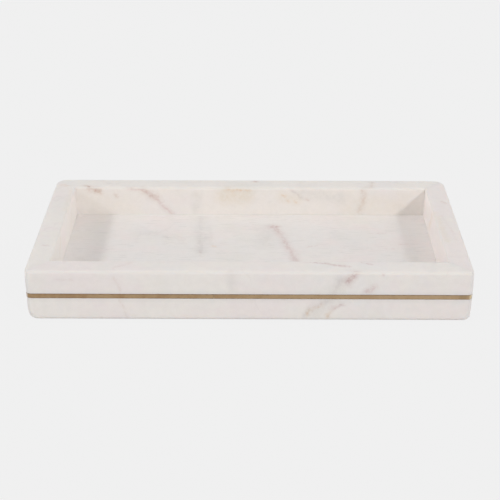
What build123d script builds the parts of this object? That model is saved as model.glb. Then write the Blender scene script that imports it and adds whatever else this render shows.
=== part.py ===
from build123d import *
import os

# A rectangular marble vanity tray: a floor slab framed by four full-height
# marble rails, mitred at the corners, with a brass bar inlaid in a groove
# that runs round the outside at mid height, and felt pads underneath.
# Millimetres. +X is the long direction, +Y is the back, +Z is up.
# The origin is the centre of the footprint, on the surface the pads stand on.

# Driving dimensions of the tray
TRAY_LENGTH = 304.8
TRAY_WIDTH = 152.4
MARBLE_HEIGHT = 38.1
RAIL_THICKNESS = 16.0
FLOOR_THICKNESS = 15.0

# Rounding of the marble, worked by hand, so the four uprights differ
CORNER_RADII = {
    "front_left": 3.5,
    "front_right": 3.2,
    "back_left": 8.5,
    "back_right": 7.5,
}
TOP_OUTER_ROUND = 2.2
BOTTOM_OUTER_ROUND = 2.8
RIM_INNER_ROUND = 1.5

# Brass inlay
BRASS_HEIGHT = 3.5
BRASS_DEPTH = 4.5
BRASS_CENTRE_HEIGHT = 19.0
FRONT_SPLICE_X = -24.0
SPLICE_GAP = 0.2

# Adhesive between the pieces
BED_DEPTH = 0.5
MITRE_FILM = 0.3
FLOOR_FILM = 0.4
FLOOR_FILM_RECESS = 0.5

# Feet
PAD_RADIUS = 7.0
PAD_THICKNESS = 1.2
PAD_FILM = 0.2
PAD_FILM_RADIUS = 6.8
PAD_INSET = 24.0

UNDERSIDE_Z = PAD_THICKNESS + PAD_FILM
RIM_Z = UNDERSIDE_Z + MARBLE_HEIGHT
FLOOR_Z = UNDERSIDE_Z + FLOOR_THICKNESS
BRASS_LOW_Z = UNDERSIDE_Z + BRASS_CENTRE_HEIGHT - BRASS_HEIGHT / 2
CAVITY_LENGTH = TRAY_LENGTH - 2 * RAIL_THICKNESS
CAVITY_WIDTH = TRAY_WIDTH - 2 * RAIL_THICKNESS

# Each side: the quarter turns, anticlockwise seen from above, that bring the
# front to it, and its own outer length
SIDES = {
    "front": (0, TRAY_LENGTH),
    "right": (1, TRAY_WIDTH),
    "back": (2, TRAY_LENGTH),
    "left": (3, TRAY_WIDTH),
}
CORNER_SIGNS = {
    "front_left": (-1, -1),
    "front_right": (1, -1),
    "back_left": (-1, 1),
    "back_right": (1, 1),
}


def outline():
    """The tray's plan, with its four unequal corner rounds."""
    plan = Sketch() + Rectangle(TRAY_LENGTH, TRAY_WIDTH)
    for corner, (x_sign, y_sign) in CORNER_SIGNS.items():
        sharp = Vector(x_sign * TRAY_LENGTH / 2, y_sign * TRAY_WIDTH / 2)
        nearest = plan.vertices().sort_by_distance(sharp)[0]
        plan = fillet(nearest, CORNER_RADII[corner])
    return plan


def envelope():
    """The whole tray's outer form, as it is after the final grinding."""
    block = extrude(Pos(0, 0, UNDERSIDE_Z) * outline(), MARBLE_HEIGHT)
    block = fillet(block.faces().sort_by(Axis.Z)[-1].outer_wire().edges(), TOP_OUTER_ROUND)
    return fillet(block.faces().sort_by(Axis.Z)[0].outer_wire().edges(), BOTTOM_OUTER_ROUND)


def outer_face_y(side):
    """Where a side's outer face lies on Y, before it is turned from the front."""
    _, length = SIDES[side]
    return (length - TRAY_LENGTH - TRAY_WIDTH) / 2


def side_prism(side, near, far, low, high, end_gap=MITRE_FILM / 2):
    """A mitre-ended bar along one side, from `near` to `far` inside its outer
    face and from `low` to `high`, `end_gap` short of the middle of each mitre."""
    turns, length = SIDES[side]
    near_half = length / 2 - near - end_gap * 2**0.5
    far_half = length / 2 - far - end_gap * 2**0.5
    plan = make_face(
        Polyline(
            (-near_half, outer_face_y(side) + near),
            (near_half, outer_face_y(side) + near),
            (far_half, outer_face_y(side) + far),
            (-far_half, outer_face_y(side) + far),
            close=True,
        )
    )
    return Rot(0, 0, 90 * turns) * extrude(Pos(0, 0, low) * plan, high - low)


def inlay_bar(side, near, far):
    """A bar at the height of the brass, between two depths into one side."""
    return side_prism(side, near, far, BRASS_LOW_Z, BRASS_LOW_Z + BRASS_HEIGHT)


def plain_rail(side, form, end_gap):
    """One full-height rail with its inner rim edge eased, before grooving."""
    bar = form & side_prism(side, 0, RAIL_THICKNESS, UNDERSIDE_Z, RIM_Z, end_gap)
    turns, _ = SIDES[side]
    rim_middle = Rot(0, 0, 90 * turns) * Pos(0, outer_face_y(side) + RAIL_THICKNESS, RIM_Z)
    rim_edge = bar.edges().sort_by_distance(rim_middle.position)[0]
    return fillet(rim_edge, RIM_INNER_ROUND)


def rail(side, form):
    """One marble rail, grooved for its brass bar."""
    return plain_rail(side, form, MITRE_FILM / 2) - inlay_bar(side, 0, BRASS_DEPTH + BED_DEPTH)


def mitre_films(form):
    """The adhesive in the four corner joints, the full section of the rails."""
    frame = Part() + [plain_rail(side, form, 0) for side in SIDES]
    films = {}
    for corner, (x_sign, y_sign) in CORNER_SIGNS.items():
        sharp_corner = Pos(x_sign * TRAY_LENGTH / 2, y_sign * TRAY_WIDTH / 2, UNDERSIDE_Z)
        joint = Box(4 * RAIL_THICKNESS, MITRE_FILM, 2 * MARBLE_HEIGHT)
        films["mitre_film_" + corner] = frame & (sharp_corner * Rot(0, 0, 45 * x_sign * y_sign) * joint)
    return films


def floor_block(length, width, top_z):
    """A plain block lying between the rails, from the underside upwards."""
    low_centre = (Align.CENTER, Align.CENTER, Align.MIN)
    return Pos(0, 0, UNDERSIDE_Z) * Box(length, width, top_z - UNDERSIDE_Z, align=low_centre)


def floor_slab():
    return floor_block(CAVITY_LENGTH - 2 * FLOOR_FILM, CAVITY_WIDTH - 2 * FLOOR_FILM, FLOOR_Z)


def floor_film():
    """The adhesive all round the slab, a little short of its top."""
    film = floor_block(CAVITY_LENGTH, CAVITY_WIDTH, FLOOR_Z - FLOOR_FILM_RECESS)
    return film - floor_slab()


def front_brass(form):
    """The front bar in its two lengths, with a hairline between their ends."""
    bar = form & inlay_bar("front", 0, BRASS_DEPTH)
    hairline = Pos(FRONT_SPLICE_X, 0, 0) * Box(SPLICE_GAP, 2 * TRAY_WIDTH, 2 * RIM_Z)
    left_length, right_length = (bar - hairline).solids().sort_by(Axis.X)
    return {"brass_front_left": left_length, "brass_front_right": right_length}


def disc(corner, radius, low_z, thickness):
    """A round disc under one corner of the tray."""
    x_sign, y_sign = CORNER_SIGNS[corner]
    x = x_sign * (TRAY_LENGTH / 2 - PAD_INSET)
    y = y_sign * (TRAY_WIDTH / 2 - PAD_INSET)
    low_centre = (Align.CENTER, Align.CENTER, Align.MIN)
    return Pos(x, y, low_z) * Cylinder(radius, thickness, align=low_centre)


def build_pieces():
    form = envelope()
    pieces = {"floor_slab": floor_slab(), "floor_film": floor_film()}
    for side in SIDES:
        pieces["rail_" + side] = rail(side, form)
        pieces["brass_bed_" + side] = inlay_bar(side, BRASS_DEPTH, BRASS_DEPTH + BED_DEPTH)
    for side in ("right", "back", "left"):
        pieces["brass_" + side] = form & inlay_bar(side, 0, BRASS_DEPTH)
    pieces.update(front_brass(form))
    pieces.update(mitre_films(form))
    for corner in CORNER_SIGNS:
        pieces["pad_" + corner] = disc(corner, PAD_RADIUS, 0, PAD_THICKNESS)
        pieces["pad_film_" + corner] = disc(corner, PAD_FILM_RADIUS, PAD_THICKNESS, PAD_FILM)
    return pieces


os.makedirs("parts", exist_ok=True)
for node, solid in build_pieces().items():
    solid.label = node
    export_step(solid, os.path.join("parts", node + ".step"))
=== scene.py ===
import math

import bpy
from mathutils import Matrix, Vector, noise


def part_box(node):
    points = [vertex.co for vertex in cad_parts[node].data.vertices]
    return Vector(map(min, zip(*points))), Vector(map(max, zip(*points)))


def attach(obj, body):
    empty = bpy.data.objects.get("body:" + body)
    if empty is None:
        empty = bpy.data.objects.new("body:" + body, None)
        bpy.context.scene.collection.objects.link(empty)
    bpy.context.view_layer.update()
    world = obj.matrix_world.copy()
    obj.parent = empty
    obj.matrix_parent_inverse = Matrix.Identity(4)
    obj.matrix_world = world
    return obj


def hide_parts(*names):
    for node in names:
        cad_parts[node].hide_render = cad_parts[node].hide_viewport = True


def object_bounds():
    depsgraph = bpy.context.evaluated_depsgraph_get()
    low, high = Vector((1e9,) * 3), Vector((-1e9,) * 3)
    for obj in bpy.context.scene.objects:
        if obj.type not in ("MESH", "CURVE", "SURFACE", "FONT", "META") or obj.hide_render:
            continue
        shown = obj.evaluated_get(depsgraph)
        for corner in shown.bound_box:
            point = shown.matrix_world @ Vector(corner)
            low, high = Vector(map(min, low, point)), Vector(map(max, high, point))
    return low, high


# The looks of a marble vanity tray with a brass inlay line. Lengths in the
# mesh code are millimetres in the frame's axes, and become metres when a mesh
# is made.
MM = 0.001

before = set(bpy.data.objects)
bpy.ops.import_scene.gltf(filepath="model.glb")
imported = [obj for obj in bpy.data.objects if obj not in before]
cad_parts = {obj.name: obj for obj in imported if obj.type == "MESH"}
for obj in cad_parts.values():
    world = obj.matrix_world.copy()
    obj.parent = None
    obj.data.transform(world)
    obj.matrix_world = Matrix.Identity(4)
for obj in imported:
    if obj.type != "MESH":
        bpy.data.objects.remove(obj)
cad_low, cad_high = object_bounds()


# ---------------------------------------------------------------- dimensions


def ease_in(value, start, end):
    """0 up to start and 1 from end on, with a smooth step between."""
    share = min(1.0, max(0.0, (value - start) / (end - start)))
    return share * share * (3 - 2 * share)


def box_mm(node):
    """A CAD node's lowest and highest corners, in millimetres."""
    low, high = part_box(node)
    return low / MM, high / MM


FRONT_LOW, FRONT_HIGH = box_mm("rail_front")
SLAB_LOW, SLAB_HIGH = box_mm("floor_slab")
BRASS_LOW, BRASS_HIGH = box_mm("brass_back")
LENGTH = (cad_high.x - cad_low.x) / MM
WIDTH = (cad_high.y - cad_low.y) / MM
UNDERSIDE = FRONT_LOW.z
RIM = FRONT_HIGH.z
FLOOR = SLAB_HIGH.z
RAIL_THICKNESS = FRONT_HIGH.y - FRONT_LOW.y
BRASS_DEPTH = BRASS_HIGH.y - BRASS_LOW.y
BRASS_MIDDLE = (BRASS_LOW.z + BRASS_HIGH.z) / 2

# The rounds along the rails. The outer top one is TOP_ROUND_STRETCH times as
# tall as it is deep, and next to it the top falls and the face leans a little.
TOP_ROUND = 1.4
TOP_ROUND_STRETCH = 1.15
CROWN_DROP = 0.30
CROWN_REACH = 9.0
LEAN_DEPTH = 0.12
LEAN_REACH = 8.0
BOTTOM_ROUND = 2.8
RIM_ROUND = 1.5
ROUND_WANDER = 0.25

# The joints, and the groove with its bed of adhesive behind the brass
BED_DEPTH = 0.5
GROOVE_DEPTH = BRASS_DEPTH + BED_DEPTH
GROOVE_LIP = 0.15
MITRE_HALF_FILM = 0.15
JOINT_EASE = 0.02
SPLICE_X = (box_mm("brass_front_left")[1].x + box_mm("brass_front_right")[0].x) / 2
SPLICE_HALF_GAP = 0.1

# The plan radius of each corner at mid height, and near the top and the
# bottom, where grinding by hand has knocked it off further
CORNERS = ("front_left", "front_right", "back_left", "back_right")
MIDDLE_RADII = {"front_left": 3.5, "front_right": 3.2, "back_left": 8.5, "back_right": 7.5}
TOP_RADII = {"front_left": 5.5, "front_right": 4.0, "back_left": 8.6, "back_right": 9.5}
BOTTOM_RADII = {"front_left": 7.8, "front_right": 5.6, "back_left": 9.0, "back_right": 8.5}
PLAIN_HEIGHTS = (10.0, 31.0)

# How each side is turned from the front, its outer length, and the corners at
# its left and right ends as seen from outside
SIDES = {
    "front": (0, LENGTH, "front_left", "front_right"),
    "right": (1, WIDTH, "front_right", "back_right"),
    "back": (2, LENGTH, "back_right", "back_left"),
    "left": (3, WIDTH, "back_left", "front_left"),
}


# ------------------------------------------------------------- shader helpers


def plug(tree, socket, value):
    """Links an output to the socket, or sets the socket's own value."""
    if isinstance(value, bpy.types.NodeSocket):
        tree.links.new(value, socket)
    else:
        socket.default_value = value


def add_node(tree, kind, inputs=None, **settings):
    """A new node with its settings and inputs given."""
    node = tree.nodes.new(kind)
    for key, value in settings.items():
        setattr(node, key, value)
    for key, value in (inputs or {}).items():
        plug(tree, node.inputs[key], value)
    return node


def calc(tree, operation, first, second=0.0, third=0.0):
    inputs = {0: first, 1: second, 2: third}
    return add_node(tree, "ShaderNodeMath", inputs, operation=operation).outputs[0]


def vector_calc(tree, operation, first, second=(0.0, 0.0, 0.0)):
    node = add_node(tree, "ShaderNodeVectorMath", {0: first, 1: second}, operation=operation)
    return node.outputs["Value" if operation in ("DOT_PRODUCT", "LENGTH") else "Vector"]


def smooth_step(tree, value, start, end, low=0.0, high=1.0):
    """Eases from low to high as value goes from start to end."""
    inputs = {"Value": value, "From Min": start, "From Max": end, "To Min": low, "To Max": high}
    node = add_node(tree, "ShaderNodeMapRange", inputs, interpolation_type="SMOOTHSTEP")
    return node.outputs["Result"]


def mix_colour(tree, factor, first, second):
    node = add_node(tree, "ShaderNodeMix", data_type="RGBA")
    plug(tree, node.inputs[0], factor)
    plug(tree, node.inputs[6], first)
    plug(tree, node.inputs[7], second)
    return node.outputs[2]


def noise_field(tree, point, scale, detail=3.0, roughness=0.5, output="Fac"):
    inputs = {"Vector": point, "Scale": scale, "Detail": detail, "Roughness": roughness}
    return add_node(tree, "ShaderNodeTexNoise", inputs).outputs[output]


def warp(tree, point, scale, reach, detail=2.0):
    """The point pushed about by up to half of reach, in millimetres."""
    swirl = noise_field(tree, point, scale, detail, 0.5, "Color")
    centred = vector_calc(tree, "SUBTRACT", swirl, (0.5, 0.5, 0.5))
    push = vector_calc(tree, "MULTIPLY", centred, (reach, reach, reach))
    return vector_calc(tree, "ADD", point, push)


def new_material(name):
    """An empty material, its tree, its Principled shader and the point being
    shaded, in millimetres in the frame's axes."""
    material = bpy.data.materials.new(name)
    material.use_nodes = True
    tree = material.node_tree
    tree.nodes.clear()
    shader = add_node(tree, "ShaderNodeBsdfPrincipled")
    output = add_node(tree, "ShaderNodeOutputMaterial")
    tree.links.new(shader.outputs["BSDF"], output.inputs["Surface"])
    coordinates = add_node(tree, "ShaderNodeTexCoord").outputs["Object"]
    point = vector_calc(tree, "MULTIPLY", coordinates, (1000.0, 1000.0, 1000.0))
    return material, tree, shader, point


def add_bump(tree, shader, height, distance, strength=1.0):
    inputs = {"Height": height, "Distance": distance * MM, "Strength": strength}
    bump = add_node(tree, "ShaderNodeBump", inputs)
    tree.links.new(bump.outputs["Normal"], shader.inputs["Normal"])


def stroke_group():
    """A node group: how much a point lies on a soft stroke from Start to End,
    as a narrow core and, about twice as wide, a faint halo."""
    group = bpy.data.node_groups.new("soft_stroke", "ShaderNodeTree")
    for name, kind in (
        ("Point", "NodeSocketVector"),
        ("Start", "NodeSocketVector"),
        ("End", "NodeSocketVector"),
        ("Half Width", "NodeSocketFloat"),
        ("Crumble", "NodeSocketFloat"),
    ):
        group.interface.new_socket(name, in_out="INPUT", socket_type=kind)
    group.interface.new_socket("Mask", in_out="OUTPUT", socket_type="NodeSocketFloat")
    given = add_node(group, "NodeGroupInput").outputs
    run = vector_calc(group, "SUBTRACT", given["End"], given["Start"])
    offset = vector_calc(group, "SUBTRACT", given["Point"], given["Start"])
    along = vector_calc(group, "DOT_PRODUCT", offset, run)
    length_squared = vector_calc(group, "DOT_PRODUCT", run, run)
    share = calc(group, "DIVIDE", along, length_squared)
    share = add_node(group, "ShaderNodeClamp", {"Value": share}).outputs[0]
    foot = add_node(group, "ShaderNodeVectorMath", {0: run, "Scale": share}, operation="SCALE")
    gap = vector_calc(group, "SUBTRACT", offset, foot.outputs["Vector"])
    distance = vector_calc(group, "LENGTH", gap)
    outer = calc(group, "MULTIPLY", given["Half Width"], 2.2)
    halo = smooth_step(group, distance, outer, 0.0, 0.0, 0.45)
    core = smooth_step(group, distance, given["Half Width"], 0.0)
    crumbled = calc(group, "MULTIPLY", core, given["Crumble"])
    mask = calc(group, "ADD", halo, calc(group, "MULTIPLY", crumbled, 0.75))
    result = add_node(group, "NodeGroupOutput")
    group.links.new(mask, result.inputs["Mask"])
    return group


STROKE = stroke_group()


def stroke_mask(tree, point, crumble, marks):
    """The strongest of several marks at a point. Each mark is its half width,
    its strength and the points it runs through. crumble breaks up its core."""
    strongest = None
    for half_width, strength, stops in marks:
        for start, end in zip(stops, stops[1:]):
            inputs = {"Point": point, "Start": start, "End": end, "Half Width": half_width}
            stroke = add_node(tree, "ShaderNodeGroup", node_tree=STROKE)
            inputs["Crumble"] = crumble
            for key, value in inputs.items():
                plug(tree, stroke.inputs[key], value)
            mask = calc(tree, "MULTIPLY", stroke.outputs["Mask"], strength)
            strongest = mask if strongest is None else calc(tree, "MAXIMUM", strongest, mask)
    return strongest


# --------------------------------------------------------------------- marble

WARM_WHITE = (0.895, 0.852, 0.812, 1.0)
COOL_WHITE = (0.875, 0.838, 0.815, 1.0)
PINK_WHITE = (0.890, 0.826, 0.804, 1.0)
GREEN_WHITE = (0.858, 0.826, 0.787, 1.0)
# the stone's colour next to the brass band
STONE_BESIDE_INLAY = (0.700, 0.655, 0.620, 1.0)
# the colour of painted shade on the upper rounds
ROUND_SHADE_STONE = (0.810, 0.768, 0.732, 1.0)
SAWN_STONE = (0.600, 0.575, 0.550, 1.0)
MARK_COLOURS = {
    "cloud": (0.600, 0.585, 0.555, 1.0),
    "grey": (0.560, 0.500, 0.495, 1.0),
    "yellow": (0.760, 0.650, 0.480, 1.0),
    "ochre": (0.720, 0.470, 0.240, 1.0),
    "brown": (0.520, 0.330, 0.230, 1.0),
    "red": (0.500, 0.265, 0.252, 1.0),
}

# How far a stone's white leans to the cool side, and to pink or, below
# nothing, to green
RAIL_GREYNESS = 0.25
RAIL_BLUSH = {"front": 0.2, "back": -0.6, "left": 0.3, "right": 0.9}
SLAB_GREYNESS = 0.9
SLAB_BLUSH = 0.0

# What sets each stone's clouding apart: where it is cut from the noise
RAIL_OFFSETS = {
    "front": (0.0, 0.0, 0.0),
    "back": (700.0, 140.0, 60.0),
    "left": (260.0, 820.0, 330.0),
    "right": (930.0, 410.0, 510.0),
}
SLAB_OFFSET = (120.0, 560.0, 240.0)

# The marks of each stone, by colour: half width in millimetres, strength, and
# the points that the mark runs through. Clouds and yellow stains are all soft
# halo, and the others also have a crumbled core.
SOFT_COLOURS = ("cloud", "yellow")
MARKS = {
    "rail_front": {
        "cloud": [
            (5.0, 0.55, [(63, -76, 33), (58, -76, 22), (45, -76, 9)]),
            (3.2, 0.40, [(-11.5, -76, 37), (-11.5, -76, 27)]),
        ],
        "grey": [
            (2.6, 0.22, [(62, -76, 32), (58.5, -76, 23), (50, -76, 15)]),
            (2.0, 0.30, [(52, -76, 16), (44, -76, 11.5), (37, -76, 6)]),
        ],
        "ochre": [
            (1.5, 0.35, [(50, -76, 14), (43, -76, 10.5), (40, -76, 7)]),
            (1.6, 0.35, [(55, -76, 8.5), (53, -76, 5)]),
        ],
        "brown": [
            (1.2, 0.16, [(-81, -63.5, 39.5), (-90, -70, 39.5), (-91.5, -76, 35), (-88.5, -76, 25)]),
            (1.2, 0.16, [(-88.5, -76, 25), (-88, -76, 15), (-83.5, -76, 3)]),
            (1.5, 0.25, [(56, -76, 9), (53, -76, 3)]),
            (1.0, 0.30, [(46.5, -76, 12.5), (44, -76, 9)]),
        ],
        "red": [
            (2.9, 0.50, [(71.8, -75.5, 38.2), (66.8, -76, 31.8)]),
            (2.2, 0.46, [(84.5, -76, 27.6), (79.5, -76, 24.4)]),
            (1.8, 0.42, [(63.5, -76, 14.5), (57, -76, 11)]),
            (1.1, 0.30, [(90.5, -76, 38.3), (91.2, -76, 38)]),
            (1.0, 0.46, [(34, -59.5, 38.5), (48, -63, 39.5), (67, -67.2, 39.5)]),
            (1.3, 0.42, [(58, -65.3, 39.5), (68, -67.5, 39.5)]),
            (0.9, 0.38, [(76.5, -61, 39), (84, -65, 39.5)]),
            (1.2, 0.10, [(-131, -76, 33.5), (-119, -76, 33.7)]),
        ],
    },
    "rail_back": {
        "cloud": [
            (2.8, 0.36, [(-42, 60, 33), (-43, 60, 21)]),
            (4.5, 0.50, [(42, 60, 36), (72, 60, 31)]),
        ],
        "yellow": [
            (5.5, 0.80, [(-20, 60, 32.5), (-4, 60, 32.5)]),
            (4.0, 0.50, [(26, 60, 32), (36, 60, 29)]),
            (7.0, 0.30, [(80, 60, 24), (118, 60, 26)]),
            (6.0, 0.14, [(-120, 60, 26), (-95, 60, 22)]),
        ],
        "grey": [
            (1.5, 0.34, [(31, 60, 38), (41, 60, 31)]),
            (1.2, 0.28, [(-112, 68, 39.5), (-104, 67, 39.5)]),
        ],
        "ochre": [
            (1.3, 0.42, [(-19, 60, 38), (0, 60, 38.3)]),
            (1.8, 0.40, [(-17, 60, 37.8), (-12, 60, 37.5)]),
            (1.1, 0.34, [(25, 60, 34), (26.5, 60, 33)]),
            (1.2, 0.34, [(29, 60, 29), (30, 60, 28)]),
            (1.1, 0.32, [(35.5, 60, 27.5), (36.5, 60, 26.5)]),
            (1.3, 0.30, [(-122, 60, 37.5), (-118, 60, 36)]),
        ],
        "brown": [
            (2.0, 0.24, [(96, 76, 36), (95.5, 70, 39.5), (94, 62, 39.5), (87.5, 60, 37)]),
            (2.3, 0.27, [(87.5, 60, 37), (89.0, 60, 33), (86, 60, 20)]),
            (1.3, 0.36, [(44, 60, 29.5), (45.5, 60, 28.5)]),
            (2.8, 0.44, [(-129, 62, 39.3), (-124, 60.2, 38), (-118, 60, 36.2)]),
            (1.5, 0.28, [(-105, 60, 33.5), (-104, 60, 31.5)]),
            (2.8, 0.25, [(-82, 60, 36.5), (-73, 60, 30)]),
            (1.2, 0.28, [(96, 76, 36), (92, 76, 21), (97, 76, 4)]),
        ],
        "red": [
            (1.8, 0.34, [(-95, 60.5, 38.6), (-82, 60, 37.3)]),
            (1.8, 0.26, [(-127.5, 61.5, 39.2), (-120, 60, 37.2)]),
            (2.8, 0.24, [(-83, 60, 37.5), (-73.5, 60, 31)]),
            (2.4, 0.32, [(-73.5, 60, 31), (-68, 60, 24.5), (-61, 60, 16)]),
            (1.2, 0.60, [(2.4, 72.5, 39.3), (5, 72.3, 39.3)]),
            (1.5, 0.34, [(4, 75.5, 37), (-3, 76, 22), (6, 76, 3)]),
            (2.4, 0.32, [(-66, 76, 33), (-60, 76, 24)]),
        ],
    },
    "rail_left": {
        "yellow": [
            (2.8, 0.24, [(-136.4, 40, 35), (-136.4, 26, 17)]),
            (2.2, 0.32, [(-138, 20, 39), (-138, 55, 39)]),
        ],
        "ochre": [
            (2.0, 0.26, [(-148.5, 65, 39.3), (-143, 63, 39.5)]),
            (1.4, 0.26, [(-136.4, -17, 34), (-136.4, -25, 25)]),
        ],
        "brown": [
            (1.3, 0.26, [(-152, 22, 32), (-152, 12, 23), (-152, 15, 4)]),
        ],
        "red": [
            (1.2, 0.34, [(-145, -38.5, 39.5), (-142.5, -38.3, 39.5)]),
        ],
    },
    "rail_right": {
        "yellow": [
            (3.0, 0.60, [(136.4, 16, 37), (136.4, 28, 22)]),
            (2.2, 0.50, [(140, -30, 39), (139, 10, 39)]),
        ],
        "grey": [
            (2.2, 0.20, [(152, -18, 34), (152, -30, 20)]),
        ],
        "ochre": [
            (1.3, 0.26, [(136.4, 22, 36), (136.4, 27, 25)]),
        ],
        "brown": [
            (1.0, 0.24, [(146, 35.5, 39.5), (148, 34.8, 39.5)]),
            (1.1, 0.26, [(152, 40, 34), (152, 33, 18), (152, 36, 5)]),
        ],
        "red": [
            (1.4, 0.22, [(145.5, 37, 39.5), (148.5, 33, 39.5)]),
            (1.2, 0.10, [(142.5, 12, 39.5), (145.5, -10, 39.5), (147, -28, 39.5)]),
        ],
    },
    "floor_slab": {
        "cloud": [
            (6.0, 0.50, [(11, 36, 16), (13, 10, 16)]),
            (5.0, 0.36, [(-38, 52, 16), (-36, -4, 16)]),
            (6.0, 0.22, [(-85, 30, 16), (-60, 20, 16)]),
            (5.0, 0.22, [(66, 25, 16), (80, 5, 16)]),
        ],
        "grey": [
            (2.2, 0.15, [(-38, 56, 16), (-38.5, 30, 16)]),
            (3.2, 0.24, [(-38.5, 24, 16), (-36, -3, 16)]),
            (2.0, 0.48, [(-64, 21, 16), (-62, 20, 16)]),
            (1.8, 0.14, [(-31, 40, 16), (-29, 10, 16)]),
        ],
        "ochre": [
            (1.2, 0.34, [(-28, 5.5, 16), (-26, 5, 16)]),
        ],
        "red": [
            (3.0, 0.60, [(17.0, 40.0, 16), (20.0, 39.0, 16)]),
            (3.2, 0.35, [(19.5, 38, 16), (24, 21.5, 16), (28, 5, 16), (33.5, -16, 16)]),
            (1.8, 0.30, [(33.5, -17, 16), (40, -32, 16), (44, -58, 16)]),
            (1.3, 0.28, [(44.5, 6, 16), (46.5, 6.5, 16)]),
            (0.8, 0.18, [(42, 4, 16), (51, 8, 16)]),
            (1.0, 0.20, [(97, 28.5, 16), (104, 28.5, 16)]),
            (1.1, 0.22, [(111, 10, 16), (118, 10.5, 16)]),
            (1.0, 0.14, [(101, 3, 16), (107, 3, 16)]),
            (1.3, 0.16, [(-37, -2, 16), (-35, -10, 16)]),
        ],
    },
}


def darkening_beside_inlay(tree, point):
    """How far the stone is darkened next to the brass: on the outer faces only, and less with distance
    from the inlay."""
    parts = add_node(tree, "ShaderNodeSeparateXYZ", {0: point}).outputs
    height = calc(tree, "ABSOLUTE", calc(tree, "SUBTRACT", parts["Z"], BRASS_MIDDLE))
    from_end = calc(tree, "SUBTRACT", LENGTH / 2, calc(tree, "ABSOLUTE", parts["X"]))
    from_side = calc(tree, "SUBTRACT", WIDTH / 2, calc(tree, "ABSOLUTE", parts["Y"]))
    near_face = smooth_step(tree, calc(tree, "MINIMUM", from_end, from_side), 6.0, 2.0)
    near_brass = smooth_step(tree, height, 5.5, 1.5, 0.0, 0.22)
    return calc(tree, "MULTIPLY", near_face, near_brass)


def clouded_white(tree, field, greyness, blush):
    """The stone's ground colour, a warm white with cool, pink and green
    clouds."""
    broad = noise_field(tree, field, 0.016, 4.0, 0.55)
    coolness = smooth_step(tree, broad, 0.62 - 0.35 * greyness, 0.72 - 0.25 * greyness)
    colour = mix_colour(tree, coolness, WARM_WHITE, COOL_WHITE)
    stretched = vector_calc(tree, "MULTIPLY", field, (0.6, 1.0, 0.8))
    blotch = noise_field(tree, stretched, 0.045, 4.0, 0.6)
    pink = smooth_step(tree, blotch, 0.44 - 0.20 * blush, 0.68 - 0.20 * blush)
    colour = mix_colour(tree, pink, colour, PINK_WHITE)
    turned = vector_calc(tree, "ADD", field, (310.0, 170.0, 90.0))
    patch = noise_field(tree, turned, 0.034, 5.0, 0.6)
    green = smooth_step(tree, patch, 0.50, 0.72, 0.0, 0.8 - 0.6 * blush)
    return mix_colour(tree, green, colour, GREEN_WHITE)


def add_threads(tree, field, colour):
    """The colour with faint grey threads that wander through the stone."""
    rippled = warp(tree, warp(tree, field, 0.035, 26.0), 0.16, 5.0)
    ridge = calc(tree, "ABSOLUTE", calc(tree, "SUBTRACT", noise_field(tree, rippled, 0.017), 0.5))
    thread = smooth_step(tree, ridge, 0.016, 0.0)
    where = smooth_step(tree, noise_field(tree, field, 0.030, 2.0), 0.50, 0.66, 0.0, 0.09)
    return mix_colour(tree, calc(tree, "MULTIPLY", thread, where), colour, MARK_COLOURS["grey"])


def add_streaks(tree, field, colour):
    """The colour with the fine grey lines that run along the floor slab."""
    combed = vector_calc(tree, "MULTIPLY", warp(tree, field, 0.06, 5.0), (0.055, 0.85, 0.85))
    comb = smooth_step(tree, noise_field(tree, combed, 1.0, 3.0, 0.6), 0.52, 0.76, 0.0, 0.34)
    return mix_colour(tree, comb, colour, MARK_COLOURS["cloud"])


def add_marks(tree, point, field, marks_by_colour, colour):
    """The colour with the stone's own clouds, stains and veins over it."""
    bent = warp(tree, warp(tree, point, 0.09, 5.0), 0.45, 3.2, 3.0)
    broken = smooth_step(tree, noise_field(tree, field, 0.24, 4.0, 0.65), 0.30, 0.62, 0.45, 1.0)
    crumbled = smooth_step(tree, noise_field(tree, field, 0.60, 3.0, 0.6), 0.36, 0.62, 0.25, 1.0)
    for colour_name, marks in marks_by_colour.items():
        crumble = 0.0 if colour_name in SOFT_COLOURS else crumbled
        mask = calc(tree, "MULTIPLY", stroke_mask(tree, bent, crumble, marks), broken)
        colour = mix_colour(tree, mask, colour, MARK_COLOURS[colour_name])
    return colour


def add_sparkle(tree, field, mottle, colour):
    """The colour with the small lights and darks of its crystals."""
    crystal = noise_field(tree, field, 1.6, 3.0, 0.7)
    fine = smooth_step(tree, crystal, 0.2, 0.8, 0.982, 1.012)
    coarse = smooth_step(tree, mottle, 0.3, 0.7, -0.016, 0.012)
    light = calc(tree, "ADD", fine, coarse)
    grey_light = add_node(tree, "ShaderNodeCombineColor", {0: light, 1: light, 2: light}).outputs[0]
    tinted = add_node(tree, "ShaderNodeMix", data_type="RGBA", blend_type="MULTIPLY")
    tinted.inputs[0].default_value = 1.0
    plug(tree, tinted.inputs[6], colour)
    plug(tree, tinted.inputs[7], grey_light)
    return tinted.outputs[2]


def painted_round_shade(tree, facing, mottle):
    """How strongly painted shade darkens the stone on its upper rounds, neither upright nor level, to
    dim their highlight."""
    off_upright = smooth_step(tree, facing, 0.12, 0.55)
    off_level = smooth_step(tree, facing, 0.995, 0.86)
    patchy = smooth_step(tree, mottle, 0.3, 0.7, 0.50, 0.75)
    return calc(tree, "MULTIPLY", calc(tree, "MULTIPLY", off_upright, off_level), patchy)


def marble_relief(tree, field, sawn):
    """The faint swell of the polished stone, and saw marks where it's sawn."""
    swell = noise_field(tree, field, 0.05, 2.0)
    saw_lines = vector_calc(tree, "MULTIPLY", field, (0.9, 0.02, 0.02))
    saw_marks = calc(tree, "MULTIPLY", noise_field(tree, saw_lines, 1.0, 2.0), sawn)
    return calc(tree, "ADD", calc(tree, "MULTIPLY", swell, 1.2), calc(tree, "MULTIPLY", saw_marks, 0.8))


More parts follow.
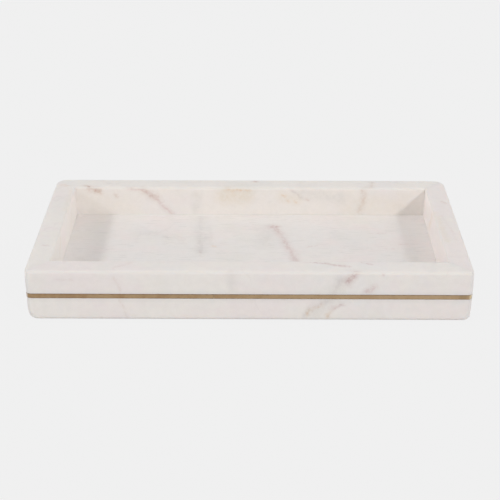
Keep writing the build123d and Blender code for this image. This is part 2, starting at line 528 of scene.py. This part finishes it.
def marble(node, offset, greyness, blush, streaked=False):
    """One stone's marble: clouded white with its own marks, polished except
    underneath. streaked adds the floor slab's fine grey lines."""
    material, tree, shader, point = new_material(node + "_marble")
    field = vector_calc(tree, "ADD", point, offset)
    mottle = noise_field(tree, field, 0.22, 5.0, 0.65)
    normal = add_node(tree, "ShaderNodeNewGeometry").outputs["Normal"]
    facing = add_node(tree, "ShaderNodeSeparateXYZ", {0: normal}).outputs["Z"]
    sawn = smooth_step(tree, facing, -0.8, -0.95)

    colour = clouded_white(tree, field, greyness, blush)
    colour = add_threads(tree, field, colour)
    if streaked:
        colour = add_streaks(tree, field, colour)
    colour = add_marks(tree, point, field, MARKS[node], colour)
    # the stone darker next to the brass band
    colour = mix_colour(tree, darkening_beside_inlay(tree, point), colour, STONE_BESIDE_INLAY)
    colour = add_sparkle(tree, field, mottle, colour)
    # painted shade over the upper rounds, which dims their highlight
    colour = mix_colour(tree, painted_round_shade(tree, facing, mottle), colour, ROUND_SHADE_STONE)
    colour = mix_colour(tree, sawn, colour, SAWN_STONE)
    tree.links.new(colour, shader.inputs["Base Color"])

    polish = smooth_step(tree, mottle, 0.3, 0.7, 0.46, 0.56)
    roughness = calc(tree, "MAXIMUM", polish, calc(tree, "MULTIPLY", sawn, 0.62))
    tree.links.new(roughness, shader.inputs["Roughness"])
    add_bump(tree, shader, marble_relief(tree, field, sawn), 0.05)
    shader.inputs["IOR"].default_value = 1.49
    shader.inputs["Specular IOR Level"].default_value = 0.30
    shader.inputs["Subsurface Weight"].default_value = 0.30
    shader.inputs["Subsurface Radius"].default_value = (1.0, 0.85, 0.7)
    shader.inputs["Subsurface Scale"].default_value = 2.5 * MM
    return material


# ------------------------------------------------------------ other materials


DULL_BRASS = (0.53, 0.345, 0.19, 1.0)
FRESH_BRASS = (0.61, 0.425, 0.245, 1.0)
SPECKLED_BRASS = (0.42, 0.25, 0.14, 1.0)
LIGHTER_BRASS = (0.78, 0.58, 0.37, 1.0)
# the colour of a painted dark reflection near the right end
PAINTED_DARK_REFLECTION_BRASS = (0.34, 0.22, 0.12, 1.0)
# the colour of a painted glint
PAINTED_GLINT_BRASS = (0.98, 0.80, 0.50, 1.0)
BROWN_EDGE_BRASS = (0.20, 0.13, 0.08, 1.0)


def brass_ground(tree, point, speckle):
    """The brass's own colour, in soft blotches with darker specks."""
    blotches = smooth_step(tree, noise_field(tree, point, 0.10, 4.0, 0.6), 0.35, 0.65)
    colour = mix_colour(tree, blotches, DULL_BRASS, FRESH_BRASS)
    specks = smooth_step(tree, speckle, 0.55, 0.75, 0.0, 0.35)
    return mix_colour(tree, specks, colour, SPECKLED_BRASS)


def brass_lightening_and_painted_reflections(tree, parts, colour):
    """The colour lighter towards the right end, with a painted dark reflection just short of it and a
    painted glint round the front right corner."""
    along, across = parts["X"], parts["Y"]
    # lighter towards the right end
    lighter_rightwards = smooth_step(tree, along, -110.0, 140.0, 0.0, 0.42)
    colour = mix_colour(tree, lighter_rightwards, colour, LIGHTER_BRASS)
    # painted shade: a dark reflection just short of the right end
    dark_reflection_start = smooth_step(tree, along, 141.5, 144.5)
    dark_reflection_end = smooth_step(tree, along, 149.5, 147.0)
    painted_dark_reflection = calc(tree, "MULTIPLY", calc(tree, "MINIMUM", dark_reflection_start, dark_reflection_end), 0.30)
    colour = mix_colour(tree, painted_dark_reflection, colour, PAINTED_DARK_REFLECTION_BRASS)
    # painted glint round the front right corner
    glint_past_end = smooth_step(tree, along, 149.4, 150.6, 0.0, 0.9)
    glint_near_front = smooth_step(tree, across, -58.0, -70.0)
    return mix_colour(tree, calc(tree, "MULTIPLY", glint_past_end, glint_near_front), colour, PAINTED_GLINT_BRASS)


def brass_material():
    """Brass bar ground flush with the stone: fine lengthwise scratches, darkened to brown along its two
    edges, and a painted dark reflection and a painted glint near its right end."""
    material, tree, shader, point = new_material("aged_brass")
    parts = add_node(tree, "ShaderNodeSeparateXYZ", {0: point}).outputs
    speckle = noise_field(tree, point, 0.9, 3.0, 0.6)
    off_centre = calc(tree, "ABSOLUTE", calc(tree, "SUBTRACT", parts["Z"], BRASS_MIDDLE))
    reach = calc(tree, "ADD", off_centre, calc(tree, "MULTIPLY", speckle, 0.8))
    edge = smooth_step(tree, reach, 1.45, 2.15, 0.0, 0.75)
    # lighter towards the right, with a painted dark reflection and glint at the end
    colour = brass_lightening_and_painted_reflections(tree, parts, brass_ground(tree, point, speckle))
    # the bar darker brown along its two edges
    colour = mix_colour(tree, edge, colour, BROWN_EDGE_BRASS)
    tree.links.new(colour, shader.inputs["Base Color"])

    scratch_point = vector_calc(tree, "MULTIPLY", point, (0.05, 0.05, 7.0))
    scratches = noise_field(tree, scratch_point, 1.0, 3.0, 0.6)
    scratched = smooth_step(tree, scratches, 0.3, 0.7, 0.30, 0.42)
    rough = calc(tree, "ADD", scratched, calc(tree, "MULTIPLY", edge, 0.2))
    tree.links.new(rough, shader.inputs["Roughness"])
    add_bump(tree, shader, scratches, 0.012)
    shader.inputs["Metallic"].default_value = 1.0
    return material


def adhesive_material():
    """Cured stone adhesive, tinted to the marble, with dirt caught in it."""
    material, tree, shader, point = new_material("stone_adhesive")
    dirt = smooth_step(tree, noise_field(tree, point, 0.25, 4.0, 0.65), 0.35, 0.70)
    colour = mix_colour(tree, dirt, (0.905, 0.865, 0.825, 1.0), (0.855, 0.815, 0.775, 1.0))
    tree.links.new(colour, shader.inputs["Base Color"])
    rough = smooth_step(tree, dirt, 0.0, 1.0, 0.35, 0.6)
    tree.links.new(rough, shader.inputs["Roughness"])
    add_bump(tree, shader, noise_field(tree, point, 1.5, 2.0), 0.03)
    return material


def felt_material():
    """Pressed wool felt: a matted tangle of fibres with flecks of grey."""
    material, tree, shader, point = new_material("pressed_felt")
    tangled = warp(tree, point, 1.1, 1.6, 3.0)
    laid = vector_calc(tree, "MULTIPLY", tangled, (4.0, 1.3, 3.0))
    crossed = vector_calc(tree, "MULTIPLY", tangled, (1.3, 4.0, 3.0))
    layers = [noise_field(tree, fibres, 1.0, 4.0, 0.7) for fibres in (laid, crossed)]
    nap = calc(tree, "MAXIMUM", layers[0], layers[1])
    raised = smooth_step(tree, nap, 0.40, 0.72)
    colour = mix_colour(tree, raised, (0.46, 0.44, 0.41, 1.0), (0.76, 0.74, 0.70, 1.0))
    tree.links.new(colour, shader.inputs["Base Color"])
    shader.inputs["Roughness"].default_value = 0.95
    shader.inputs["Sheen Weight"].default_value = 0.4
    add_bump(tree, shader, nap, 0.15)
    return material


def film_material():
    """The thin pressure-sensitive film that holds a felt pad."""
    material, tree, shader, point = new_material("pad_adhesive")
    haze = noise_field(tree, point, 0.8, 3.0)
    colour = mix_colour(tree, haze, (0.68, 0.66, 0.60, 1.0), (0.78, 0.76, 0.71, 1.0))
    tree.links.new(colour, shader.inputs["Base Color"])
    tree.links.new(smooth_step(tree, haze, 0.3, 0.7, 0.4, 0.6), shader.inputs["Roughness"])
    return material


# ---------------------------------------------------------------- mesh helpers


def finish_mesh(name, vertices, faces, material, node):
    """Makes a piece from millimetre vertices, and puts it in place of a node."""
    mesh = bpy.data.meshes.new(name)
    mesh.from_pydata([Vector(v) * MM for v in vertices], [], faces)
    mesh.validate()
    mesh.update()
    mesh.polygons.foreach_set("use_smooth", [True] * len(mesh.polygons))
    mesh.set_sharp_from_angle(angle=math.radians(40))
    mesh.materials.append(material)
    piece = bpy.data.objects.new(name, mesh)
    bpy.context.scene.collection.objects.link(piece)
    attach(piece, "root")
    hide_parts(node)
    return piece


def bridge_rings(ring_count, ring_size):
    """Quads between neighbouring rings of equal size, and a cap on each end."""
    faces = []
    for ring in range(ring_count - 1):
        for k in range(ring_size):
            a = ring * ring_size + k
            b = ring * ring_size + (k + 1) % ring_size
            faces.append((a, b, b + ring_size, a + ring_size))
    last = (ring_count - 1) * ring_size
    faces.append(tuple(reversed(range(ring_size))))
    faces.append(tuple(range(last, last + ring_size)))
    return faces


def arc(centre_depth, centre_z, radius, start, end, steps, tallness=1.0):
    """Points on an arc in a rail's section, by angle in degrees from +depth.
    tallness stretches it into an ellipse, upright if it is over 1."""
    points = []
    for k in range(steps + 1):
        angle = math.radians(start + (end - start) * k / steps)
        rise = radius * tallness * math.sin(angle)
        points.append((centre_depth + radius * math.cos(angle), centre_z + rise))
    return points


def spaced(start, end, step):
    """Evenly spaced values between start and end, without either."""
    count = max(1, round(abs(end - start) / step))
    return [start + (end - start) * k / count for k in range(1, count)]


# How far in from each corner the evenly spaced stretch of a side starts, and
# how many steps lead from there to the mitre
END_REACH = 20.0
END_STEPS = 26


def corner_radius(corner, z):
    """A corner's plan radius at a height."""
    middle = MIDDLE_RADII[corner]
    towards_top = ease_in(z, PLAIN_HEIGHTS[1], RIM)
    towards_bottom = ease_in(-z, -PLAIN_HEIGHTS[0], -UNDERSIDE)
    radius = middle + (TOP_RADII[corner] - middle) * towards_top
    return radius + (BOTTOM_RADII[corner] - middle) * towards_bottom


class Side:
    """One side of the tray, in which a point is given by where it is along the
    side and how deep it lies inside the outer face."""

    def __init__(self, name):
        self.turns, self.length, self.left_corner, self.right_corner = SIDES[name]
        self.half = self.length / 2
        self.outer_y = -(LENGTH + WIDTH - self.length) / 2
        self.turn = Matrix.Rotation(math.radians(90 * self.turns), 3, "Z")

    def place(self, along, depth, z):
        return self.turn @ Vector((along, self.outer_y + depth, z))

    def end_point(self, share, depth, radius):
        """A point on the line `depth` inside the outline, between END_REACH
        from the corner (share 0) and the mitre film (share 1), as the distance
        from the corner along the side, and the depth there."""
        if depth >= radius:
            run = share * (END_REACH - depth - MITRE_HALF_FILM * math.sqrt(2))
            return END_REACH - run, depth
        straight = END_REACH - radius
        bend = radius - depth
        run = share * (straight + bend * math.pi / 4 - MITRE_HALF_FILM)
        if run <= straight:
            return END_REACH - run, depth
        angle = (run - straight) / bend
        return radius - bend * math.sin(angle), radius - bend * math.cos(angle)

    def point(self, station, depth, z):
        """A station is ("left" or "right", share) near an end, or ("middle",
        distance along the side from its centre)."""
        zone, value = station
        if zone == "middle":
            return self.place(value, depth, z)
        corner = self.left_corner if zone == "left" else self.right_corner
        inset, at_depth = self.end_point(value, depth, corner_radius(corner, z))
        along = self.half - inset
        return self.place(-along if zone == "left" else along, at_depth, z)

    def stations(self, step, finer=()):
        """Stations from mitre to mitre, with more of them round each of the
        places in `finer`."""
        shares = [k / END_STEPS for k in range(END_STEPS)] + [0.996, 1.0]
        middle = {-self.half + END_REACH, self.half - END_REACH}
        middle.update(spaced(-self.half + END_REACH, self.half - END_REACH, step))
        for centre in finer:
            middle.update(centre + 0.25 * k for k in range(-8, 9))
        left = [("left", s) for s in reversed(shares[1:])]
        return left + [("middle", x) for x in sorted(middle)] + [("right", s) for s in shares[1:]]


# ------------------------------------------------------------------ the rails


def hand_wobble(point, reach, wavelength):
    """A smooth wander between -reach and reach, the same at each run."""
    return reach * noise.noise(point / wavelength)


def rail_section(place, grooved=True):
    """A rail's closed outline at a place, as (depth, z): up the outer face, over
    the top, down the inner face and back along the underside. Its two top
    rounds wander a little from place to place, and the groove has eased lips."""
    top_round = TOP_ROUND + hand_wobble(place, ROUND_WANDER, 38.0)
    rim_round = RIM_ROUND + hand_wobble(place + Vector((500, 0, 0)), ROUND_WANDER, 27.0)
    lip = GROOVE_LIP
    groove_low, groove_high = BRASS_LOW.z, BRASS_HIGH.z
    section = arc(BOTTOM_ROUND, UNDERSIDE + BOTTOM_ROUND, BOTTOM_ROUND, 270, 180, 7)
    section += [(0, z) for z in spaced(UNDERSIDE + BOTTOM_ROUND, groove_low - 1.2, 1.6)]
    section += [(0, groove_low - gap) for gap in (1.2, 0.7, 0.35, lip)]
    if grooved:
        section += [(lip, groove_low), (GROOVE_DEPTH, groove_low)]
        section += [(GROOVE_DEPTH, groove_high), (lip, groove_high)]
    section += [(0, groove_high + gap) for gap in (lip, 0.35, 0.7, 1.2)]
    drop = top_round * TOP_ROUND_STRETCH
    section += [(0, z) for z in spaced(groove_high + 1.2, RIM - drop, 1.6)]
    section += arc(top_round, RIM - drop, top_round, 180, 90, 12, TOP_ROUND_STRETCH)
    section += [(d, RIM) for d in spaced(top_round, RAIL_THICKNESS - rim_round, 1.3)]
    section += arc(RAIL_THICKNESS - rim_round, RIM - rim_round, rim_round, 90, 0, 7)
    section += [(RAIL_THICKNESS, z) for z in spaced(RIM - rim_round, UNDERSIDE, 2.2)]
    section += [(RAIL_THICKNESS, UNDERSIDE)]
    section += [(d, UNDERSIDE) for d in spaced(RAIL_THICKNESS, BOTTOM_ROUND, 2.2)]
    return [soften_top(depth, z) for depth, z in section]


def soften_top(depth, z):
    """A section's point moved by the soft fall of the stone towards its outer
    top edge: the top sinks and the face leans back, more the nearer they are."""
    fall = max(0.0, 1 - depth / CROWN_REACH) ** 2 * ease_in(z, RIM - LEAN_REACH, RIM)
    lean = max(0.0, 1 - (RIM - z) / LEAN_REACH) ** 2 * max(0.0, 1 - depth / CROWN_REACH)
    return depth + LEAN_DEPTH * lean, z - CROWN_DROP * fall


def shrink(section, inset):
    """A section's points moved into the stone by inset."""
    moved = []
    for k, (depth, z) in enumerate(section):
        before, after = section[k - 1], section[(k + 1) % len(section)]
        run_depth, run_z = after[0] - before[0], after[1] - before[1]
        length = math.hypot(run_depth, run_z) or 1.0
        moved.append((depth + inset * run_z / length, z - inset * run_depth / length))
    return moved


# Small chips: distance along the side, depth, height, radius and how deep
CHIPS = {
    "front": [
        (53.0, 0.0, BRASS_LOW.z, 0.9, 0.45),
        (70.5, 0.0, BRASS_LOW.z, 1.0, 0.50),
        (-62.0, 0.0, BRASS_HIGH.z, 0.7, 0.30),
        (11.0, RAIL_THICKNESS, RIM, 1.6, 0.35),
        (-102.0, 0.0, UNDERSIDE + 1.0, 1.8, 0.30),
    ],
    "back": [
        (31.0, 0.0, BRASS_HIGH.z, 0.9, 0.40),
        (-84.0, 0.0, BRASS_LOW.z, 0.8, 0.35),
        (64.0, 0.0, UNDERSIDE + 1.0, 2.0, 0.40),
    ],
    "left": [
        (22.0, 0.0, BRASS_LOW.z, 0.8, 0.40),
        (-31.0, 0.0, UNDERSIDE + 1.0, 1.8, 0.30),
    ],
    "right": [
        (-18.0, 0.0, BRASS_HIGH.z, 0.8, 0.40),
        (36.0, RAIL_THICKNESS, RIM, 1.5, 0.30),
    ],
}


def rail_piece(name, material):
    """One rail from mitre to mitre, with its ends eased and its chips."""
    side = Side(name)
    chips = CHIPS[name]
    stations = side.stations(2.0, [chip[0] for chip in chips])
    vertices = []
    for k, station in enumerate(stations):
        section = rail_section(side.point(station, 0.0, RIM))
        if k in (0, len(stations) - 1):
            section = shrink(section, JOINT_EASE)
        for depth, z in section:
            vertices.append(side.point(station, depth, z))
    for along, depth, z, radius, sink in chips:
        centre = side.place(along, depth, z)
        inward = side.place(along, RAIL_THICKNESS / 2, (UNDERSIDE + RIM) / 2) - centre
        inward.normalize()
        for k, vertex in enumerate(vertices):
            reach = (vertex - centre).length / radius
            if reach < 1.0:
                roughness = 1.0 + 0.5 * noise.noise(vertex * 2.0)
                vertices[k] = vertex + inward * sink * (1 - reach * reach) * roughness
    faces = bridge_rings(len(stations), len(section))
    node = "rail_" + name
    return finish_mesh("marble_" + node, vertices, faces, material, node)


def mitre_film_piece(corner, side_name, next_side_name, material):
    """The adhesive in a mitre, from one side's right end to the next side's
    left end, ground flush with both."""
    vertices = []
    for name, station in ((side_name, ("right", 1.0)), (next_side_name, ("left", 1.0))):
        side = Side(name)
        section = shrink(rail_section(side.point(station, 0.0, RIM), False), JOINT_EASE)
        vertices += [side.point(station, depth, z) for depth, z in section]
    faces = bridge_rings(2, len(section))
    name = "mitre_film_" + corner
    return finish_mesh("adhesive_" + name, vertices, faces, material, name)


# ------------------------------------------------------------------ the brass


BRASS_EDGE_EASE = 0.18
BRASS_SLACK = 0.03
BRASS_END_EASE = 0.05
BRASS_UNEVENNESS = 0.05


def brass_section():
    """A brass bar's outline as (depth, z), with its two outer edges eased."""
    ease, slack = BRASS_EDGE_EASE, BRASS_SLACK
    low, high = BRASS_LOW.z + slack, BRASS_HIGH.z - slack
    section = [(slack, z) for z in (low + ease, low + 0.6, low + 1.2)]
    section += [(slack, z) for z in spaced(low + 1.2, high - 1.2, 0.5)]
    section += [(slack, z) for z in (high - 1.2, high - 0.6, high - ease)]
    section += [(slack + ease * 0.3, high - ease * 0.3), (slack + ease, high)]
    section += [(BRASS_DEPTH, high), (BRASS_DEPTH, low)]
    section += [(slack + ease, low), (slack + ease * 0.3, low + ease * 0.3)]
    return section


def brass_piece(node, side_name, stations, material):
    """One length of brass through the given stations."""
    side = Side(side_name)
    section = brass_section()
    vertices = []
    for k, station in enumerate(stations):
        ring = shrink(section, BRASS_END_EASE) if k in (0, len(stations) - 1) else section
        for depth, z in ring:
            point = side.point(station, depth, z)
            sink = abs(hand_wobble(point, BRASS_UNEVENNESS, 14.0)) if depth < 1.0 else 0.0
            vertices.append(side.point(station, depth + sink, z))
    faces = bridge_rings(len(stations), len(section))
    return finish_mesh("inlay_" + node, vertices, faces, material, node)


def brass_pieces(material):
    for name in ("right", "back", "left"):
        brass_piece("brass_" + name, name, Side(name).stations(2.5), material)
    stations = Side("front").stations(2.5)
    left_end, right_end = SPLICE_X - SPLICE_HALF_GAP, SPLICE_X + SPLICE_HALF_GAP
    left = [s for s in stations if s[0] == "left" or (s[0] == "middle" and s[1] < left_end)]
    right = [s for s in stations if s[0] == "right" or (s[0] == "middle" and s[1] > right_end)]
    left.append(("middle", left_end))
    right.insert(0, ("middle", right_end))
    brass_piece("brass_front_left", "front", left, material)
    brass_piece("brass_front_right", "front", right, material)


# ------------------------------------------------------------------- the floor


SLAB_EDGE_EASE = 0.15
SLAB_SWELL = 0.08


def floor_piece(material):
    """The slab, with eased edges and the faint swell that polishing leaves."""
    ease = SLAB_EDGE_EASE
    columns = [SLAB_LOW.x, SLAB_LOW.x + ease]
    columns += spaced(SLAB_LOW.x + ease, SLAB_HIGH.x - ease, 2.5)
    columns += [SLAB_HIGH.x - ease, SLAB_HIGH.x]
    rows = [SLAB_LOW.y, SLAB_LOW.y + ease]
    rows += spaced(SLAB_LOW.y + ease, SLAB_HIGH.y - ease, 2.5)
    rows += [SLAB_HIGH.y - ease, SLAB_HIGH.y]
    vertices = []
    faces = []
    for z in (SLAB_LOW.z, SLAB_HIGH.z):
        for y in rows:
            for x in columns:
                on_edge = x in (columns[0], columns[-1]) or y in (rows[0], rows[-1])
                height = z
                if z == SLAB_HIGH.z:
                    swell = abs(hand_wobble(Vector((x, y, 0)), SLAB_SWELL, 45.0))
                    height = z - (ease if on_edge else swell)
                vertices.append((x, y, height))
    across, deep = len(columns), len(rows)
    layer = across * deep
    for j in range(deep - 1):
        for i in range(across - 1):
            a = j * across + i
            faces.append((a, a + across, a + across + 1, a + 1))
            top = a + layer
            faces.append((top, top + 1, top + across + 1, top + across))
    rim = [(i, 0) for i in range(across)] + [(across - 1, j) for j in range(1, deep)]
    rim += [(i, deep - 1) for i in range(across - 2, -1, -1)]
    rim += [(0, j) for j in range(deep - 2, 0, -1)]
    loop = [j * across + i for i, j in rim]
    for a, b in zip(loop, loop[1:] + loop[:1]):
        faces.append((a, b, b + layer, a + layer))
    return finish_mesh("marble_floor", vertices, faces, material, "floor_slab")


def floor_film_piece(material):
    """The adhesive round the slab: a ribbon with an uneven top, which slopes up
    from just below the slab's edge to the rails."""
    film_low, film_high = box_mm("floor_film")
    outer = (film_high.x, film_high.y)
    inner = (SLAB_HIGH.x, SLAB_HIGH.y)
    corners = [(-1, -1), (1, -1), (1, 1), (-1, 1)]
    spots = []
    for (sx, sy), (tx, ty) in zip(corners, corners[1:] + corners[:1]):
        steps = 110 if sx != tx else 50
        for k in range(steps):
            share = k / steps
            spots.append((sx + (tx - sx) * share, sy + (ty - sy) * share))
    vertices = []
    for u, v in spots:
        sunk = 0.10 + 0.06 * noise.noise(Vector((u * outer[0], v * outer[1], 3.0)) / 6.0)
        top = FLOOR - sunk
        section = [(outer, film_low.z), (outer, top + 0.15), (inner, top), (inner, film_low.z)]
        for (half_x, half_y), z in section:
            vertices.append((u * half_x, v * half_y, z))
    faces = []
    count = len(spots)
    for k in range(count):
        a, b = k * 4, (k + 1) % count * 4
        for j in range(4):
            faces.append((a + j, b + j, b + (j + 1) % 4, a + (j + 1) % 4))
    name = "adhesive_floor_film"
    return finish_mesh(name, vertices, faces, material, "floor_film")


# A pad's profile, as its share of the radius and of the thickness
PAD_EDGE = [(0.94, 0.0), (0.985, 0.12), (1.0, 0.35), (1.0, 0.65), (0.985, 0.88), (0.94, 1.0)]
PAD_PROFILE = [(0.35, 0.0), (0.8, 0.0)] + PAD_EDGE + [(0.8, 1.0), (0.35, 1.0)]
PAD_AROUND = 96
PAD_FUR = 0.35


def pad_piece(corner, material):
    """A felt disc, slightly bulged and furry at its edge."""
    low, high = box_mm("pad_" + corner)
    centre = (low + high) / 2
    radius = (high.x - low.x) / 2
    vertices = []
    for share, height in PAD_PROFILE:
        for k in range(PAD_AROUND):
            angle = 2 * math.pi * k / PAD_AROUND
            direction = Vector((math.cos(angle), math.sin(angle), 0))
            tuft = direction * 14.0 + Vector((0, 0, height * 6.0)) + centre
            fur = PAD_FUR * abs(noise.noise(tuft)) * share**6
            spot = centre + direction * (radius * share - fur)
            vertices.append((spot.x, spot.y, low.z + (high.z - low.z) * height))
    faces = bridge_rings(len(PAD_PROFILE), PAD_AROUND)
    return finish_mesh("felt_pad_" + corner, vertices, faces, material, "pad_" + corner)


# --------------------------------------------------------------- build it all


def dress_cad_node(node, material):
    """Gives a carried-over CAD node its finished material."""
    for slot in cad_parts[node].material_slots:
        slot.material = material


def build_tray():
    adhesive = adhesive_material()
    for name, offset in RAIL_OFFSETS.items():
        rail_piece(name, marble("rail_" + name, offset, RAIL_GREYNESS, RAIL_BLUSH[name]))
        dress_cad_node("brass_bed_" + name, adhesive)
    floor_piece(marble("floor_slab", SLAB_OFFSET, SLAB_GREYNESS, SLAB_BLUSH, streaked=True))
    floor_film_piece(adhesive)
    names = list(SIDES)
    for name, next_name in zip(names, names[1:] + names[:1]):
        mitre_film_piece(SIDES[name][3], name, next_name, adhesive)
    brass_pieces(brass_material())
    felt, film = felt_material(), film_material()
    for corner in CORNERS:
        pad_piece(corner, felt)
        dress_cad_node("pad_film_" + corner, film)


# ------------------------------------------------------- stage, light, camera

BACKDROP_GREY = 0.873
SHADOW_TRACE = 0.02
BOUNCE_GREY = 0.68
STAGE_HALF_WIDTH = 4.0


def opaque_grey(level):
    return (level, level, level, 1.0)


def stage_floor():
    """A plain pale floor. The camera sees it lit evenly, with only a trace of
    the tray's contact shadow. On the tray it throws the light of a darker grey
    floor."""
    material = bpy.data.materials.new("stage_floor")
    material.use_nodes = True
    tree = material.node_tree
    tree.nodes.clear()
    seen = add_node(tree, "ShaderNodeLightPath").outputs["Is Camera Ray"]
    bounce = add_node(tree, "ShaderNodeBsdfDiffuse", {"Color": opaque_grey(BOUNCE_GREY)})
    shadow_catch = add_node(tree, "ShaderNodeBsdfDiffuse", {"Color": opaque_grey(SHADOW_TRACE)})
    glow_inputs = {"Color": opaque_grey(1.0), "Strength": BACKDROP_GREY - SHADOW_TRACE}
    glow = add_node(tree, "ShaderNodeEmission", glow_inputs)
    even = add_node(tree, "ShaderNodeAddShader")
    tree.links.new(shadow_catch.outputs[0], even.inputs[0])
    tree.links.new(glow.outputs[0], even.inputs[1])
    either = add_node(tree, "ShaderNodeMixShader", {0: seen})
    tree.links.new(bounce.outputs[0], either.inputs[1])
    tree.links.new(even.outputs[0], either.inputs[2])
    output = add_node(tree, "ShaderNodeOutputMaterial")
    tree.links.new(either.outputs[0], output.inputs["Surface"])
    half = STAGE_HALF_WIDTH
    corners = [(-half, -half, 0), (half, -half, 0), (half, half, 0), (-half, half, 0)]
    mesh = bpy.data.meshes.new("floor")
    mesh.from_pydata(corners, [], [(0, 1, 2, 3)])
    mesh.materials.append(material)
    floor = bpy.data.objects.new("floor", mesh)
    bpy.context.scene.collection.objects.link(floor)


LAMP_SPREAD = math.radians(7.0)


def add_sun(name, towards, strength):
    """A soft lamp in a fixed direction; towards points from the tray to it."""
    data = bpy.data.lights.new(name, "SUN")
    data.energy = strength
    data.angle = LAMP_SPREAD
    lamp = bpy.data.objects.new(name, data)
    lamp.rotation_mode = "QUATERNION"
    lamp.rotation_quaternion = Vector(towards).to_track_quat("Z", "Y")
    bpy.context.scene.collection.objects.link(lamp)


def sky_dome():
    """Even studio light, a little weaker from overhead than from the horizon,
    and stronger from both ends of the tray."""
    world = bpy.data.worlds.new("studio")
    bpy.context.scene.world = world
    world.use_nodes = True
    tree = world.node_tree
    tree.nodes.clear()
    direction = add_node(tree, "ShaderNodeTexCoord").outputs["Generated"]
    parts = add_node(tree, "ShaderNodeSeparateXYZ", {0: direction}).outputs
    overall = smooth_step(tree, parts["Z"], -0.1, 1.0, 0.516, 0.464)
    from_right = smooth_step(tree, parts["X"], 0.35, 1.0, 0.0, 0.78)
    from_left = smooth_step(tree, parts["X"], -0.35, -1.0, 0.0, 0.48)
    level = calc(tree, "ADD", overall, calc(tree, "ADD", from_right, from_left))
    grey = add_node(tree, "ShaderNodeCombineColor", {0: level, 1: level, 2: level}).outputs[0]
    seen = add_node(tree, "ShaderNodeLightPath").outputs["Is Camera Ray"]
    colour = mix_colour(tree, seen, grey, opaque_grey(BACKDROP_GREY))
    background = add_node(tree, "ShaderNodeBackground", {"Color": colour, "Strength": 1.0})
    output = add_node(tree, "ShaderNodeOutputWorld")
    tree.links.new(background.outputs[0], output.inputs["Surface"])


def studio():
    stage_floor()
    sky_dome()
    add_sun("key_left", towards=(-1.33, -0.47, 1.0), strength=0.76)
    add_sun("key_right", towards=(0.98, -1.50, 1.0), strength=0.69)
    view = bpy.context.scene.view_settings
    view.view_transform = "Standard"
    view.look = "None"
    view.exposure = 0.0
    view.gamma = 1.0


# The photographer's camera: its place in millimetres, and its aim, level and
# straight at the back when all three angles are 0
CAMERA_PLACE = Vector((3.51, -751.99, 409.60))
CAMERA_PITCH = math.radians(27.599)
CAMERA_YAW = math.radians(-0.250)
CAMERA_ROLL = math.radians(0.085)
SENSOR_WIDTH = 36.0
FOCAL_LENGTH = 82.37


def photo_camera():
    """The camera stands in front of the tray, a little to its right."""
    data = bpy.data.cameras.new("camera")
    data.sensor_width = SENSOR_WIDTH
    data.lens = FOCAL_LENGTH
    data.clip_start = 0.05
    data.clip_end = 20.0
    camera = bpy.data.objects.new("camera", data)
    turn = Matrix.Rotation(-CAMERA_YAW, 3, "Z")
    turn = turn @ Matrix.Rotation(math.pi / 2 - CAMERA_PITCH, 3, "X")
    turn = turn @ Matrix.Rotation(CAMERA_ROLL, 3, "Z")
    camera.matrix_world = Matrix.Translation(CAMERA_PLACE * MM) @ turn.to_4x4()
    bpy.context.scene.collection.objects.link(camera)
    bpy.context.scene.camera = camera


build_tray()
studio()
photo_camera()
